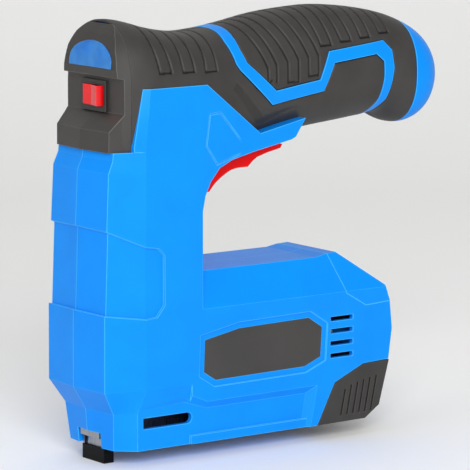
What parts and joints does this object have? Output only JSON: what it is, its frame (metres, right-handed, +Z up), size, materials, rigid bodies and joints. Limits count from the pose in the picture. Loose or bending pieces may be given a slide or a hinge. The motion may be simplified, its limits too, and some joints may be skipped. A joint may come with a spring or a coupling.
{
  "type": "cordless electric staple gun",
  "caption": "C-shaped cordless staple gun: two-part housing with rubber grip, red trigger, rocker switch, spring striker lifted by a geared motor, and pull-out magazine.",
  "frame": {"origin": "where the staple leaves the nose, at the underside of the contact foot, on the plane between the shells", "axes": "+Z up from the work surface, +X back from the nose towards the handle's end, Y across the tool"},
  "size_m": [0.228, 0.062, 0.2298],
  "materials": {
    "shell": "satin moulded ABS",
    "soft_grip": "matt moulded-on rubber",
    "head_plastic": "fine-textured hard plastic",
    "lens": "tinted clear plastic",
    "circuit": "green circuit board",
    "led": "moulded epoxy",
    "switch_black": "black nylon",
    "rocker_red": "glossy",
    "label": "satin printed plate",
    "screw_steel": "blackened",
    "trigger_red": "satin",
    "steel": "ground",
    "spring_steel": "drawn wire",
    "foot_black": "blackened",
    "bumper": "matt",
    "alloy": "die cast",
    "bronze": "sintered",
    "motor_steel": "zinc plated",
    "motor_plastic": "white nylon",
    "tail_grip": "ribbed dark nylon",
    "cell": "shrink sleeve",
    "holder": "black nylon"
  },
  "bodies": {
    "tool": {"left_shell": "shell", "right_shell": "shell", "tail_cover": "shell", "left_grip": "soft_grip", "right_grip": "soft_grip", "head_panel": "head_plastic", "lens": "lens", "led_board": "circuit", "leds": "led", "switch_housing": "switch_black", "label_plates": "label", "housing_screws": "screw_steel", "trigger_pin": "steel", "trigger_spring": "spring_steel", "trigger_switch": "switch_black", "magazine_track": "steel", "blade_guide": "steel", "foot_spring": "spring_steel", "safety_switch": "switch_black", "guide_rods": "steel", "main_spring": "spring_steel", "spring_seat": "steel", "bumper_pad": "bumper", "frame_base": "steel", "bearing_plate": "steel", "gear_plate_front": "steel", "gear_plate_middle": "steel", "motor_plate": "steel", "gearbox_posts": "steel", "shaft_bushes": "bronze", "motor_can": "motor_steel", "motor_end_cap": "motor_plastic", "battery_cells": "cell", "cell_holder": "holder", "control_board": "circuit", "charging_socket": "switch_black"},
    "rocker": {"rocker": "rocker_red"},
    "trigger": {"trigger": "trigger_red"},
    "plunger": {"switch_plunger": "switch_black"},
    "foot": {"contact_foot": "foot_black", "foot_yoke": "steel"},
    "drawer": {"magazine_channel": "steel", "magazine_rail": "alloy", "magazine_grip": "tail_grip", "pusher_rod": "steel", "pusher_spring": "spring_steel"},
    "pusher": {"pusher": "steel"},
    "latch": {"latch_button": "switch_black"},
    "lifter": {"lifter_wheel": "steel", "lifter_pins": "steel", "lifter_shaft": "steel", "output_gear": "steel"},
    "striker": {"driver_blade": "steel", "striker_carriage": "steel", "rack": "steel"},
    "layshaft": {"layshaft": "steel", "lay_gear": "steel"},
    "rotor": {"motor_rotor": "motor_steel", "motor_pinion": "bronze"}
  },
  "joints": [
    {"name": "rocker_tilt", "type": "hinge", "parent": "tool", "child": "rocker", "pos_m": [0.0056, 0, 0.1906], "axis": [0, 0, 1], "range_deg": [0, 16]},
    {"name": "trigger_pull", "type": "hinge", "parent": "tool", "child": "trigger", "pos_m": [0.094, 0, 0.1665], "axis": [0, 1, 0], "range_deg": [0, 6.5], "stiffness_Nm_per_rad": 0.8, "springref_deg": -6.88, "deforming": ["trigger_spring"]},
    {"name": "plunger_slide", "type": "slide", "parent": "tool", "child": "plunger", "axis": [0, 0, 1], "range_m": [0, 0.002]},
    {"name": "foot_slide", "type": "slide", "parent": "tool", "child": "foot", "axis": [0, 0, 1], "range_m": [0, 0.005], "stiffness_N_per_m": 1500, "springref_m": -0.009, "deforming": ["foot_spring"]},
    {"name": "drawer_slide", "type": "slide", "parent": "tool", "child": "drawer", "axis": [1, 0, 0], "range_m": [0, 0.09]},
    {"name": "pusher_slide", "type": "slide", "parent": "drawer", "child": "pusher", "axis": [1, 0, 0], "range_m": [0, 0.085], "stiffness_N_per_m": 60, "springref_m": -0.03, "deforming": ["pusher_spring"]},
    {"name": "latch_press", "type": "slide", "parent": "drawer", "child": "latch", "axis": [-1, 0, 0], "range_m": [0, 0.0015], "stiffness_N_per_m": 400, "springref_m": -0.003},
    {"name": "lifter_turn", "type": "hinge", "parent": "tool", "child": "lifter", "pos_m": [0, 0, 0.056], "axis": [1, 0, 0], "range_deg": [-1, 126]},
    {"name": "striker_slide", "type": "slide", "parent": "tool", "child": "striker", "axis": [0, 0, 1], "range_m": [0, 0.024], "stiffness_N_per_m": 60, "springref_m": -0.02, "deforming": ["main_spring"]},
    {"name": "layshaft_turn", "type": "hinge", "parent": "tool", "child": "layshaft", "pos_m": [0, 0, 0.076], "axis": [1, 0, 0], "range_deg": [-377, 1]},
    {"name": "motor_turn", "type": "hinge", "parent": "tool", "child": "rotor", "pos_m": [0, 0, 0.056], "axis": [1, 0, 0], "range_deg": [-1, 1502]}
  ],
  "couplings": [
    {"joint": "plunger_slide", "follows": "trigger_pull", "m_per_rad": 0.016},
    {"joint": "lifter_turn", "follows": "striker_slide", "rad_per_m": 90.909},
    {"joint": "layshaft_turn", "follows": "striker_slide", "rad_per_m": -272.73},
    {"joint": "motor_turn", "follows": "striker_slide", "rad_per_m": 1090.9}
  ]
}
